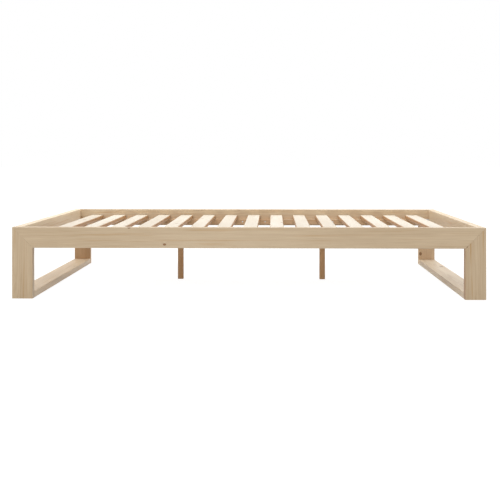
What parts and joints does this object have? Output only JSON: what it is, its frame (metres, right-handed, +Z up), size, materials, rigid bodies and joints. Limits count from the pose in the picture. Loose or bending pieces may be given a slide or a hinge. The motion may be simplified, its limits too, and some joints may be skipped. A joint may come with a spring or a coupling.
{
  "type": "bed frame",
  "caption": "Low platform bed frame of mitred pine boards, each end a closed sled loop, with slats let down between the rails.",
  "frame": {"origin": "on the floor, under the middle of the bed", "axes": "+X along the bed towards its right end, +Y from the front side to the rear side, +Z up"},
  "size_m": [2.09, 1.49, 0.316],
  "materials": {
    "pine_frame": "planed pine under clear satin lacquer",
    "pine_slats": "pale planed pine under thin clear lacquer",
    "beech": "bare beech",
    "zinc_steel": "bright zinc plate"
  },
  "bodies": {
    "root": {"side_rail_front": "pine_frame", "side_rail_rear": "pine_frame", "end_rail_left": "pine_frame", "end_rail_right": "pine_frame", "leg_front_left": "pine_frame", "leg_front_right": "pine_frame", "leg_rear_left": "pine_frame", "leg_rear_right": "pine_frame", "runner_left": "pine_frame", "runner_right": "pine_frame", "ledger_front": "pine_frame", "ledger_rear": "pine_frame", "centre_beam": "pine_frame", "centre_post_left": "pine_frame", "centre_post_right": "pine_frame", "slat_01": "pine_slats", "slat_02": "pine_slats", "slat_03": "pine_slats", "slat_04": "pine_slats", "slat_05": "pine_slats", "slat_06": "pine_slats", "slat_07": "pine_slats", "slat_08": "pine_slats", "slat_09": "pine_slats", "slat_10": "pine_slats", "slat_11": "pine_slats", "slat_12": "pine_slats", "slat_13": "pine_slats", "slat_14": "pine_slats", "slat_15": "pine_slats", "mitre_key_front_left": "beech", "mitre_key_front_right": "beech", "mitre_key_rear_left": "beech", "mitre_key_rear_right": "beech", "end_rail_dowel_front_left_1": "beech", "end_rail_dowel_front_left_2": "beech", "end_rail_dowel_front_right_1": "beech", "end_rail_dowel_front_right_2": "beech", "end_rail_dowel_rear_left_1": "beech", "end_rail_dowel_rear_left_2": "beech", "end_rail_dowel_rear_right_1": "beech", "end_rail_dowel_rear_right_2": "beech", "runner_dowel_front_left_1": "beech", "runner_dowel_front_left_2": "beech", "runner_dowel_front_right_1": "beech", "runner_dowel_front_right_2": "beech", "runner_dowel_rear_left_1": "beech", "runner_dowel_rear_left_2": "beech", "runner_dowel_rear_right_1": "beech", "runner_dowel_rear_right_2": "beech", "corner_bracket_front_left": "zinc_steel", "corner_bracket_front_right": "zinc_steel", "corner_bracket_rear_left": "zinc_steel", "corner_bracket_rear_right": "zinc_steel", "beam_hanger_left": "zinc_steel", "beam_hanger_right": "zinc_steel", "post_stud_left": "zinc_steel", "post_stud_right": "zinc_steel"}
  },
  "joints": []
}
